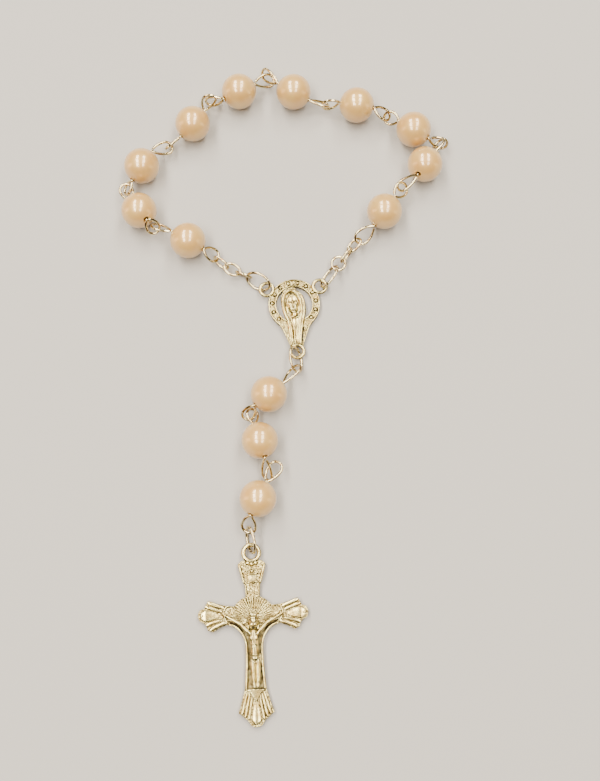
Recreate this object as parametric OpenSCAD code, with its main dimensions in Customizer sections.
// Rosary bracelet laid out flat: ten pearl beads and two short chains round to a
// medal, then a drop of three pearls and a crucifix. Millimetres, Z up.
// X runs to the right and Y to the far side of the loop. All of it rests on z = 0.
// Each bead sits on a wire pin with an eye bent at both ends. Eyes, links and
// cast rings pass through each other and stay clear of each other.

/* [Beads] */
// Diameter of a pearl bead
bead_d = 8; // [7.8:0.1:8.1]
// Diameter of the hole through a bead
bore_d = 1.2; // [0.9:0.1:1.6]

/* [Wire] */
// Diameter of the wire of pins and links
wire_d = 0.6; // [0.5:0.02:0.66]
// Where the wire starts to bend, out from the bead's surface
bend_off = 0.2; // [0.2:0.05:0.3]
// Width left open at the cut end of an eye, centre to centre
eye_gap = 0.75; // [0.7:0.05:1]
// Radius round the end of an oval link, as a share of its half width
link_end = 0.8; // [0.7:0.02:0.84]

/* [Medal] */
// Outer radius of the round frame
frame_r = 5.8; // [5.6:0.1:6]
// Width of the frame's band
band_w = 1.75; // [1.5:0.05:2]
// Thickness of the cast plate
medal_t = 1.3; // [1.2:0.05:1.5]
// Height of the raised rims on the band
rim_h = 0.2; // [0.1:0.05:0.3]
// Mean radius of the cast rings
ring_r = 1.52; // [1.5:0.02:1.6]
// Thickness of the cast rings
ring_t = 0.66; // [0.5:0.02:0.7]

/* [Crucifix] */
// Thickness of the cast cross
cross_t = 1.5; // [1.3:0.1:1.7]
// Radius of the fan of rays behind the figure
fan_r = 4.8; // [4.6:0.1:5]
// Number of rays in the fan
rays = 23; // [15:2:27]
// Height of rails, rays and ribs over the plate
relief_h = 0.2; // [0.12:0.02:0.24]
// Mean radius of the cross's ring
cross_ring_r = 1.75; // [1.7:0.05:1.8]
// Thickness of the cross's ring
cross_ring_t = 0.84; // [0.7:0.02:0.9]

/* [Hidden] */
$fn = 48;
pearl = [0.93, 0.82, 0.7];
silver = [0.84, 0.8, 0.68];

// Beads from the right chain round the loop to the left chain, then down the drop.
// Columns: centre x and y, then turn and rise of the bore
beads = [
    [22.8, 38.6, -125, -5],
    [32.2, 49.9, -120, 25],
    [29.8, 58.4, -35, 5],
    [16.8, 64.4, -15, 10],
    [2.2, 67.7, -28, -5],
    [-10.4, 67.8, 33, -10],
    [-21.0, 59.8, 50, 0],
    [-32.4, 49.5, 60, 0],
    [-32.7, 38.8, 125, -28],
    [-21.5, 31.7, 150, 0],
    [-3.1, -3.5, 40, -10],
    [-5.0, -13.7, 107, -15],
    [-5.3, -26.3, 67, -15]
];
turn_col = 2;
rise_col = 3;

// Two eyes for each bead, the one that the bore points to first.
// Columns: tip x, y and z, roll about the eye's length, half width
eyes = [
    [16.6, 31.9, 2.2, -30, 1.6],
    [27.7, 44.9, 3.9, 30, 1.55],
    [26.0, 44.0, 3.9, 15, 1.3],
    [36.6, 56.7, 2.1, -55, 1.35],
    [37.4, 54.9, 2.9, 55, 1.3],
    [23.2, 62.1, 3.0, -35, 1.45],
    [24.4, 61.8, 2.9, -15, 1.5],
    [8.9, 64.9, 2.3, -70, 1.3],
    [10.4, 65.1, 2.2, -45, 1.3],
    [-5.1, 73.4, 2.5, -55, 1.35],
    [-2.5, 71.9, 2.0, 15, 1.45],
    [-18.0, 65.8, 2.4, -70, 1.3],
    [-17.1, 68.0, 1.7, -5, 1.5],
    [-27.2, 54.7, 1.8, 65, 1.3],
    [-25.8, 54.9, 2.3, 10, 1.4],
    [-36.3, 43.5, 2.0, 40, 1.3],
    [-36.5, 45.1, 3.6, 5, 1.4],
    [-28.5, 33.8, 3.6, 10, 1.45],
    [-29.7, 35.5, 3.5, 45, 1.3],
    [-14.8, 28.2, 1.7, -10, 1.5],
    [3.5, 3.3, 2.1, -45, 1.3],
    [-8.3, -8.7, 2.3, -20, 1.3],
    [-7.1, -6.6, 2.6, 30, 1.3],
    [-3.3, -22.0, 1.3, 40, 1.3],
    [-0.8, -18.4, 2.9, -20, 1.55],
    [-7.5, -33.4, 2.0, 10, 1.55]
];
eye_roll_col = 3;
eye_half_col = 4;

// Links of the two chains and of the drop, each chain from its bead to the medal.
// Columns: centre x, y and z, then turn, rise and roll, length and width outside
links = [
    [16.0, 31.2, 2.1, -131, -5, 30, 4.3, 2.9],
    [14.2, 28.9, 1.9, -127, -5, 100, 4.3, 2.7],
    [12.4, 26.9, 2.0, -126, 5, -5, 3.9, 3.6],
    [10.3, 23.9, 1.9, -125, -5, 55, 6.2, 4.4],
    [-14.1, 27.1, 1.8, -39, -5, 65, 4.4, 2.9],
    [-11.6, 25.6, 1.7, -26, -5, -10, 4.3, 3.2],
    [-9.0, 24.4, 1.6, -21, 0, 100, 4.2, 3.0],
    [-5.7, 22.8, 1.7, -26, 4, 45, 6.2, 4.4],
    [2.8, 4.7, 1.9, -80, -5, -50, 6.2, 4.4],
    [-6.9, -35.0, 2.1, -78, 0, 65, 6.2, 4.4]
];
link_turn_col = 3;
link_rise_col = 4;
link_roll_col = 5;
link_long_col = 6;
link_wide_col = 7;
link_names = [
    "link_right_1", "link_right_2", "link_right_3", "link_right_4",
    "link_left_1", "link_left_2", "link_left_3", "link_left_4",
    "drop_link", "cross_link"
];

function numbered(word, i) = str(word, i < 9 ? "_0" : "_", i + 1);
bead_names = [for (i = [0 : len(beads) - 1]) numbered("bead", i)];
pin_names = [for (i = [0 : len(beads) - 1]) numbered("eye_pin", i)];

bend_r = bead_d / 2 + bend_off;
// Balls where one stretch of wire meets the next, and how far short of them it ends
ball_d = wire_d + 0.05;
short = 0.05;
function spot(row) = [row[0], row[1], row[2]];
function bead_centre(row) = [row[0], row[1], bead_d / 2];
function heading(turn, rise) = [cos(rise) * cos(turn), cos(rise) * sin(turn), sin(rise)];
function unit(way) = way / norm(way);

// A way in the XY plane, as it lies after its roll, rise and turn
function laid(way, turn, rise, roll) =
    let (y = way.y * cos(roll), z = way.y * sin(roll),
         x = way.x * cos(rise) - z * sin(rise), up = way.x * sin(rise) + z * cos(rise))
    [x * cos(turn) - y * sin(turn), x * sin(turn) + y * cos(turn), up];
function mirrored(half) =
    concat(half, [for (i = [len(half) - 1 : -1 : 0]) [-half[i].x, half[i].y]]);

// Turns X to the given turn and rise, after a roll about it
module aim(at, turn, rise, roll = 0)
    translate(at) rotate([0, -rise, turn]) rotate([roll, 0, 0]) children();

// Turns Z along the way from one point to another
module along(from, to) {
    way = to - from;
    translate(from) rotate([0, acos(way.z / norm(way)), atan2(way.y, way.x)]) children();
}

// Six-sided or round bar between two points, thinner at its far end if asked
module bar(from, to, d, d_end = 0, sides = 6)
    along(from, to) cylinder(h = norm(to - from), d1 = d, d2 = d_end > 0 ? d_end : d, $fn = sides);

// Part of a wire ring in the XY plane
module wire_arc(centre, r, from, sweep)
    translate([centre.x, centre.y, 0]) rotate([0, 0, from])
        rotate_extrude(angle = sweep) translate([r, 0]) circle(d = wire_d);

// The same, ending just short of the balls that join one stretch of wire to the next
module short_arc(centre, r, from, sweep) {
    trim = short / r * 180 / PI;
    wire_arc(centre, r, from + trim, sweep - 2 * trim);
}

module bead(row)
    color(pearl) difference() {
        translate(bead_centre(row)) sphere(d = bead_d, $fn = 96);
        translate(bead_centre(row)) rotate([0, 90 - row[rise_col], row[turn_col]])
            cylinder(h = bead_d + 1, d = bore_d, center = true);
    }

// Ball between two ways of wire, turned so that neither covers its poles or its seam
module joint_ball(one, other) {
    pole = unit(cross(one, other));
    seam = unit(cross(one - other, pole));
    tip = acos(pole.z);
    way = atan2(pole.y, pole.x);
    down = [cos(tip) * cos(way), cos(tip) * sin(way), -sin(tip)];
    aside = [-sin(way), cos(way), 0];
    rotate([0, tip, way]) rotate([0, 0, atan2(seam * aside, seam * down)]) sphere(d = ball_d);
}

function side_radius(long, half) = (pow(long - half, 2) + half * half) / (2 * half);
function side_sweep(long, half) = atan2(long - half, side_radius(long, half) - half);

// Eye in the XY plane from its bend at the origin to a tip on X: a shallow arc out to
// the widest place, a half circle, and an arc back that stops short of the first
module eye_wire(long, half) {
    wide_at = long - half;
    side_r = side_radius(long, half);
    sweep = side_sweep(long, half);
    stop = 2 * asin(eye_gap / (4 * side_r * sin(sweep)));
    short_arc([wide_at, side_r - half], side_r, 270 - sweep, sweep);
    short_arc([wide_at, 0], half, -90, 180);
    short_arc([wide_at, half - side_r], side_r, 90, sweep - stop);
    for (side = [-half, half])
        translate([wide_at, side, 0]) rotate([0, 0, 90]) sphere(d = ball_d);
}

module eye(bend, inward, row) {
    way = spot(row) - bend;
    long = norm(way);
    half = row[eye_half_col];
    turn = atan2(way.y, way.x);
    rise = asin(way.z / long);
    roll = row[eye_roll_col];
    sweep = side_sweep(long, half);
    aim(bend, turn, rise, roll) eye_wire(long, half);
    translate(bend) joint_ball(inward, laid([cos(sweep), -sin(sweep)], turn, rise, roll));
}

module eye_pin(i) {
    row = beads[i];
    centre = bead_centre(row);
    reach = bend_r * heading(row[turn_col], row[rise_col]);
    inner = 1 - short / bend_r;
    color(silver) {
        bar(centre - inner * reach, centre + inner * reach, wire_d, sides = 48);
        eye(centre + reach, -unit(reach), eyes[2 * i]);
        eye(centre - reach, unit(reach), eyes[2 * i + 1]);
    }
}

// Oval link: an arc round each end and a flatter one along each side
module link(row) {
    half_long = (row[link_long_col] - wire_d) / 2;
    half_wide = (row[link_wide_col] - wire_d) / 2;
    end_r = half_wide * link_end;
    end_at = [half_long - end_r, 0];
    side_r = (half_long * half_long + half_wide * half_wide - 2 * half_long * end_r)
        / (2 * (half_wide - end_r));
    lean = atan2(end_at.x, side_r - half_wide);
    color(silver)
        aim(spot(row), row[link_turn_col], row[link_rise_col], row[link_roll_col])
            for (way = [0, 180])
                rotate([0, 0, way]) {
                    short_arc(end_at, end_r, lean - 90, 180 - 2 * lean);
                    short_arc([0, half_wide - side_r], side_r, 90 - lean, 2 * lean);
                    for (turn = [lean - 90, 90 - lean])
                        translate(end_at) rotate([0, 0, turn]) translate([end_r, 0]) sphere(d = ball_d);
                }
}

// Cast ring lying flat, its middle at the given height
module cast_ring(at, r, thick)
    translate(at) rotate_extrude() translate([r, 0]) circle(d = thick);

// Medal: the round frame's centre, its turn, and places on it from that centre
medal_at = [2.4, 17.6];
medal_turn = 3.7;
side_ring_at = [5.97, 3.8];
low_ring_y = -10.93;
ring_z = 1.3;
window_r = frame_r - band_w;
rim_w = 0.3;
skirt_half = [[3.0, -3.0], [4.2, -3.6], [3.25, -5.0], [2.6, -6.5], [1.95, -8.0], [1.45, -9.6]];
star_r = 0.35;
star_count = 12;
face_at = [-0.35, 0];
face_r = 1.4;
face_long = 1.5;
face_flat = 0.8;
hood_at = [-0.4, 0.9];
hood_r = 2.6;
hood_d = 1.1;
hood_long = 1.2;
hood_sink = 0.3;

// Folds of the veil and dress on the medal, from the hood down to the low ring.
// Columns: x and y at the top, x and y at the foot, width at each end
folds = [
    [-2.3, 0.7, -1.85, -3.4, 1.1, 0.9],
    [-1.85, -3.4, -0.95, -9.2, 0.9, 0.5],
    [1.6, 0.8, 1.95, -2.6, 1.1, 1.0],
    [1.95, -2.6, 1.0, -9.2, 1.0, 0.5],
    [1.05, -2.4, 0.5, -9.2, 0.6, 0.4],
    [-1.1, -3.6, -0.45, -9.2, 0.7, 0.4],
    [-0.1, -4.0, 0, -9.2, 0.9, 0.4]
];

module bust_outline() {
    translate(hood_at) circle(hood_r);
    translate([-1.2, 3.3]) circle(0.85);
    polygon([
        [-3.0, 0.8], [-2.4, -3.4], [-2.4, -4.6],
        [2.4, -4.6], [2.35, -3.3], [2.45, -0.9], [2.2, 1.2]
    ]);
}

module medal_outline() {
    difference() {
        circle(frame_r);
        circle(window_r);
    }
    intersection() {
        circle(window_r + 0.1);
        bust_outline();
    }
    difference() {
        polygon(mirrored(skirt_half));
        circle(window_r);
    }
}

module rim(r)
    rotate_extrude() translate([r - rim_w / 2, medal_t / 2]) square([rim_w, medal_t / 2 + rim_h]);

module stars()
    for (i = [0 : star_count - 1])
        rotate([0, 0, 360 / star_count * (i + 0.5)]) translate([frame_r - band_w / 2, 0, medal_t / 2])
            cylinder(h = medal_t / 2 + rim_h, r = star_r, $fn = 5);

module medal()
    color(silver) translate([medal_at.x, medal_at.y, 0]) rotate([0, 0, medal_turn]) {
        linear_extrude(medal_t) medal_outline();
        rim(frame_r - rim_w / 2);
        rim(window_r + rim_w / 2 + 0.05);
        stars();
        for (side = [-1, 1])
            cast_ring([side * side_ring_at.x, side_ring_at.y, ring_z], ring_r, ring_t);
        cast_ring([0, low_ring_y, ring_z], ring_r, ring_t);
        bust();
    }

module bust() {
    // Hood round the top of the face, then the face, the neck and the folds
    translate([hood_at.x, hood_at.y - hood_sink, medal_t]) scale([1, hood_long, 1])
        rotate([0, 0, -5]) rotate_extrude(angle = 190)
            translate([hood_r - hood_d * 0.6, 0]) circle(d = hood_d);
    translate([face_at.x, face_at.y, medal_t]) scale([1, face_long, face_flat]) sphere(face_r);
    bar([face_at.x, -1.2, medal_t], [-0.1, -3.6, medal_t - 0.2], face_r, face_r * 1.2, 16);
    for (fold = folds)
        bar([fold[0], fold[1], medal_t], [fold[2], fold[3], medal_t - 0.05], fold[4], fold[5], 12);
}

// Cross: the ring's centre, its turn, and half outlines from that centre, down the post
cross_at = [-6.8, -37.7];
cross_turn = 2.5;
cross_ring_z = 1.35;
fan_y = -13.8;
neck_half = [[2.2, -1.65], [3.0, -2.35], [1.85, -6.4], [1.5, -9.4]];
post_half = [[1.6, -14.5], [1.75, -18.2], [2.05, -25.8], [2.3, -28.2]];
foot_half = [[2.3, -28.2], [3.75, -33.0], [1.8, -34.6], [1.0, -35.9]];
arm_outline = [
    [3.0, -11.1], [5.9, -10.9], [9.35, -9.8], [10.3, -11.6],
    [10.8, -14.1], [9.85, -15.2], [9.7, -15.9], [8.7, -16.3], [5.5, -14.85], [3.0, -15.6], [0, -18]
];
arm_lobe = [9.9, -12.9, 1.85];
under_arm = [5.1, -18.4, 3.4];

module both_sides() {
    children();
    mirror([1, 0, 0]) children();
}

module cross_outline() {
    translate([0, fan_y]) intersection() {
        circle(fan_r);
        translate([-fan_r, 0]) square([2 * fan_r, fan_r]);
    }
    polygon(mirrored(neck_half));
    polygon(mirrored(post_half));
    polygon(mirrored(foot_half));
    both_sides() difference() {
        union() {
            polygon(concat(arm_outline, [[0, fan_y]]));
            translate([arm_lobe.x, arm_lobe.y]) circle(arm_lobe.z);
        }
        translate([under_arm.x, under_arm.y]) circle(under_arm.z);
    }
}

// Ribs over an arm's end and the foot. Columns: x and y at each end, width at each end
arm_ribs = [
    [6.2, -11.2, 9.3, -10.3, 0.6, 0.8],
    [6.7, -12.1, 10.0, -11.2, 0.5, 0.8],
    [6.7, -13.9, 10.1, -14.6, 0.5, 0.8],
    [6.2, -14.5, 9.3, -15.7, 0.6, 0.8],
    [5.6, -11.3, 6.0, -12.9, 0.4, 0.4],
    [6.0, -12.9, 5.6, -14.4, 0.4, 0.4]
];
foot_ribs = [
    [0.6, -29.0, 1.1, -34.7, 0.35, 0.7],
    [1.15, -29.0, 2.05, -33.9, 0.35, 0.7],
    [1.7, -29.0, 3.0, -33.0, 0.35, 0.7]
];
rail = [2.7, -2.4, 1.65, -6.3, 0.45, 0.45];
moulding = [-1.0, -2.5, 1.0, -2.5, 0.5, 0.5];
foot_panel = [0, -29.4, 0, -35.2, 0.9, 1.5];
arm_shell = [[6.9, -12.95], [9.9, -12.95]];
shell_d = [1.5, 2.6];
shell_top = [cross_t + 0.4, cross_t + 0.7];
shell_box = [5, 4, 2];
scroll_w = 2.2;
roll_half = 1.3;
scroll_y = [-3.5, -7.3];
roll_d = 0.7;
ray_from = 2.3;
ray_to = fan_r - 0.1;
ray_d = [0.3, 0.42];

// Height of the middle of a bar whose top stands proud by the relief's height
function lift(d) = cross_t + relief_h - d / 2;

module rib(row)
    bar([row[0], row[1], lift(row[4])], [row[2], row[3], lift(row[5])], row[4], row[5]);

module ray(way) {
    out = [cos(way), sin(way)];
    near = [0, fan_y] + ray_from * out;
    far = [0, fan_y] + ray_to * out;
    rib([near.x, near.y, far.x, far.y, ray_d[0], ray_d[1]]);
}

// Rounded shell in the middle of an arm's end, cut off inside the plate
module shell()
    intersection() {
        bar([arm_shell[0].x, arm_shell[0].y, shell_top[0] - shell_d[0] / 2],
            [arm_shell[1].x, arm_shell[1].y, shell_top[1] - shell_d[1] / 2],
            shell_d[0], shell_d[1], 24);
        translate([arm_shell[0].x - 1, arm_shell[0].y - shell_box.y / 2, cross_t / 2])
            cube(shell_box);
    }

module scroll() {
    translate([-scroll_w / 2, scroll_y[1], cross_t / 2])
        cube([scroll_w, scroll_y[0] - scroll_y[1], cross_t / 2 + relief_h]);
    for (y = scroll_y)
        bar([-roll_half, y, cross_t], [roll_half, y, cross_t], roll_d, sides = 12);
}

module cross_relief() {
    both_sides() {
        rib(rail);
        for (row = concat(arm_ribs, foot_ribs)) rib(row);
        shell();
    }
    rib(moulding);
    rib(foot_panel);
    for (i = [1 : rays])
        ray(180 / (rays + 1) * i);
    scroll();
}

// Figure on the cross. Limbs, columns: x, y and z at each end, width at each end.
// Head, chest and cloth, columns: x, y and z, radius, stretch along Y and Z
limbs = [
    [0.75, -16.8, 2.1, 3.0, -14.6, 2.1, 1.0, 0.8],
    [3.0, -14.6, 2.1, 5.8, -13.05, 1.9, 0.8, 0.55],
    [0.45, -21.6, 1.9, 0.45, -24.6, 2.0, 1.2, 0.95],
    [0.45, -24.6, 2.0, 0.35, -27.4, 1.6, 0.95, 0.7]
];
rounds = [
    [0, -14.6, 2.1, 1.2, 1.2, 0.9],
    [0, -18.4, 1.9, 1.1, 2.2, 0.95],
    [0, -21.2, 1.8, 1.15, 1.25, 0.95]
];
neck = [0, -15.4, 2.1, 0, -16.8, 2.0, 0.9, 1.1];
elbow = limbs[1];
knee = limbs[3];
joint_extra = 0.02;
hand_at = [5.95, -12.95, 1.85];
hand_r = 0.4;
foot_at = [0.35, -27.6, 1.6];
foot_r = 0.42;

module limb(row, sides)
    bar([row[0], row[1], row[2]], [row[3], row[4], row[5]], row[6], row[7], sides);

module figure() {
    limb(neck, 16);
    for (row = rounds)
        translate(spot(row)) scale([1, row[4], row[5]]) sphere(row[3]);
    both_sides() {
        for (row = limbs) limb(row, 24);
        for (row = [elbow, knee])
            translate(spot(row)) sphere(d = row[6] + joint_extra);
        translate(hand_at) sphere(hand_r);
        translate(foot_at) sphere(foot_r);
    }
}

module crucifix()
    color(silver) translate([cross_at.x, cross_at.y, 0]) rotate([0, 0, cross_turn]) {
        linear_extrude(cross_t) cross_outline();
        cast_ring([0, 0, cross_ring_z], cross_ring_r, cross_ring_t);
        cross_relief();
        figure();
    }

for (i = [0 : len(beads) - 1]) {
    bead(beads[i]);
    eye_pin(i);
}
for (i = [0 : len(links) - 1])
    link(links[i]);
medal();
crucifix();
